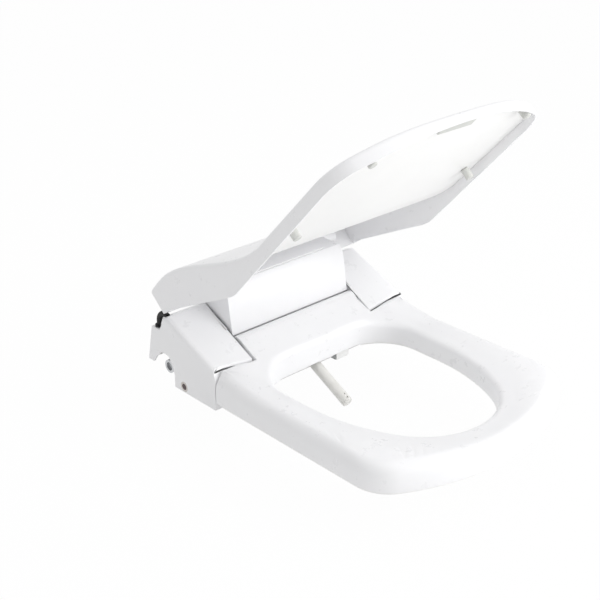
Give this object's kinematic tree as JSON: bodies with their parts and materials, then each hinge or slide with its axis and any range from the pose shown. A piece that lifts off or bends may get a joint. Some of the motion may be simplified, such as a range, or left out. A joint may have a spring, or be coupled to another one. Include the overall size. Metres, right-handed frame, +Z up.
{
  "type": "electric bidet seat",
  "caption": "Heated bidet toilet seat with hinged ring and lid, sliding wash nozzle, warm air outlet, pull-out deodorising filter, side water inlet and push-button release.",
  "frame": {"origin": "midway between the two bowl bolts, on the rim plane of the bowl", "axes": "+X to the right of a person facing the rear of the bowl, -Y to the front tip of the seat, +Z up"},
  "size_m": [0.39, 0.529, 0.5],
  "materials": {
    "shell_plastic": "gloss",
    "pan_plastic": "satin",
    "duct_plastic": "satin",
    "dark_plastic": "satin",
    "nozzle_plastic": "gloss",
    "gear_plastic": "satin",
    "damper_body": "satin",
    "steel": "brushed",
    "motor_metal": "satin",
    "plated_brass": "polished",
    "nut_brass": "satin",
    "black_rubber": "matt",
    "grey_rubber": "matt",
    "clear_hose": "satin",
    "board_laminate": "satin",
    "standoff_nylon": "satin",
    "capacitor_can": "satin",
    "heater_foil": "satin",
    "valve_plastic": "satin",
    "bezel_plastic": "gloss",
    "lens_plastic": "gloss"
  },
  "bodies": {
    "housing": {"base_pan": "pan_plastic", "board_standoffs": "standoff_nylon", "bolt_adjusters": "pan_plastic", "capacitors": "capacitor_can", "centre_cover": "shell_plastic", "circuit_board": "board_laminate", "cord_gland": "black_rubber", "cover_screws": "steel", "dryer_duct": "duct_plastic", "dryer_fan_housing": "duct_plastic", "dryer_motor": "motor_metal", "filter_guide": "pan_plastic", "flow_valve": "valve_plastic", "hinge_cover": "shell_plastic", "hose_grommet": "black_rubber", "inlet_hose": "black_rubber", "inlet_nipple": "plated_brass", "inlet_nut": "nut_brass", "inlet_strainer": "steel", "ir_receiver": "dark_plastic", "left_side_cover": "shell_plastic", "lid_damper": "damper_body", "mounting_plate": "pan_plastic", "nozzle_cradle": "pan_plastic", "nozzle_motor": "motor_metal", "odour_fan_housing": "duct_plastic", "odour_motor": "motor_metal", "rear_cover": "shell_plastic", "right_side_cover": "shell_plastic", "seat_damper": "damper_body", "seat_hinge_pins": "steel", "seat_pin_bearing": "damper_body", "solenoid_valve": "duct_plastic", "tank_heater": "steel", "tank_hose": "clear_hose", "transformer": "motor_metal", "water_tank": "duct_plastic", "window_bezel": "bezel_plastic", "window_lens": "lens_plastic"},
    "seat": {"seat_top_shell": "shell_plastic", "seat_bottom_shell": "pan_plastic", "seat_heater_foil": "heater_foil", "seat_bumpers": "grey_rubber", "occupancy_sensor": "board_laminate"},
    "lid_shaft": {"lid_hinge_shaft": "steel"},
    "lid": {"lid_outer_shell": "shell_plastic", "lid_inner_panel": "shell_plastic", "lid_buffers": "grey_rubber", "lid_front_pad": "grey_rubber"},
    "nozzle": {"nozzle_tube": "nozzle_plastic", "nozzle_tip": "nozzle_plastic", "nozzle_hose_port": "gear_plastic", "nozzle_rack": "gear_plastic"},
    "pinion": {"drive_pinion": "gear_plastic"},
    "dryer_wheel": {"dryer_fan_wheel": "dark_plastic"},
    "odour_wheel": {"odour_fan_wheel": "dark_plastic"},
    "flap": {"dryer_flap": "dark_plastic"},
    "filter": {"filter_cartridge": "dark_plastic"},
    "release": {"release_button": "shell_plastic", "release_latch": "pan_plastic"}
  },
  "joints": [
    {"name": "seat_lift", "type": "hinge", "parent": "housing", "child": "seat", "pos_m": [0, -0.038, 0.061], "axis": [-1, 0, 0], "range_deg": [0, 85]},
    {"name": "lid_shaft_turn", "type": "hinge", "parent": "housing", "child": "lid_shaft", "pos_m": [0, 0.04, 0.138], "axis": [-1, 0, 0], "range_deg": [0, 38.25]},
    {"name": "lid_open", "type": "hinge", "parent": "lid_shaft", "child": "lid", "pos_m": [0, 0.04, 0.138], "axis": [-1, 0, 0], "range_deg": [-48, 22]},
    {"name": "nozzle_slide", "type": "slide", "parent": "housing", "child": "nozzle", "axis": [0, -0.887, -0.4617], "range_m": [-0.068, 0]},
    {"name": "pinion_spin", "type": "hinge", "parent": "housing", "child": "pinion", "pos_m": [0.019, -0.00662, 0.0416], "axis": [0, -0.4617, 0.887], "range_deg": [-650, 0.5]},
    {"name": "dryer_wheel_spin", "type": "hinge", "parent": "housing", "child": "dryer_wheel", "pos_m": [0.058, 0.016, 0.0545], "axis": [1, 0, 0], "continuous": true},
    {"name": "odour_wheel_spin", "type": "hinge", "parent": "housing", "child": "odour_wheel", "pos_m": [0.154, 0.03, 0.058], "axis": [1, 0, 0], "continuous": true},
    {"name": "flap_swing", "type": "hinge", "parent": "housing", "child": "flap", "pos_m": [0.057, -0.0815, 0.0066], "axis": [-1, 0, 0], "range_deg": [0, 60], "stiffness_Nm_per_rad": 0.002},
    {"name": "filter_slide", "type": "slide", "parent": "housing", "child": "filter", "axis": [1, 0, 0], "range_m": [0, 0.058]},
    {"name": "button_press", "type": "slide", "parent": "housing", "child": "release", "axis": [-1, 0, 0], "range_m": [0, 0.004], "stiffness_N_per_m": 800}
  ],
  "couplings": [
    {"joint": "lid_shaft_turn", "follows": "seat_lift", "ratio": 0.45},
    {"joint": "pinion_spin", "follows": "nozzle_slide", "rad_per_m": 166.67}
  ]
}
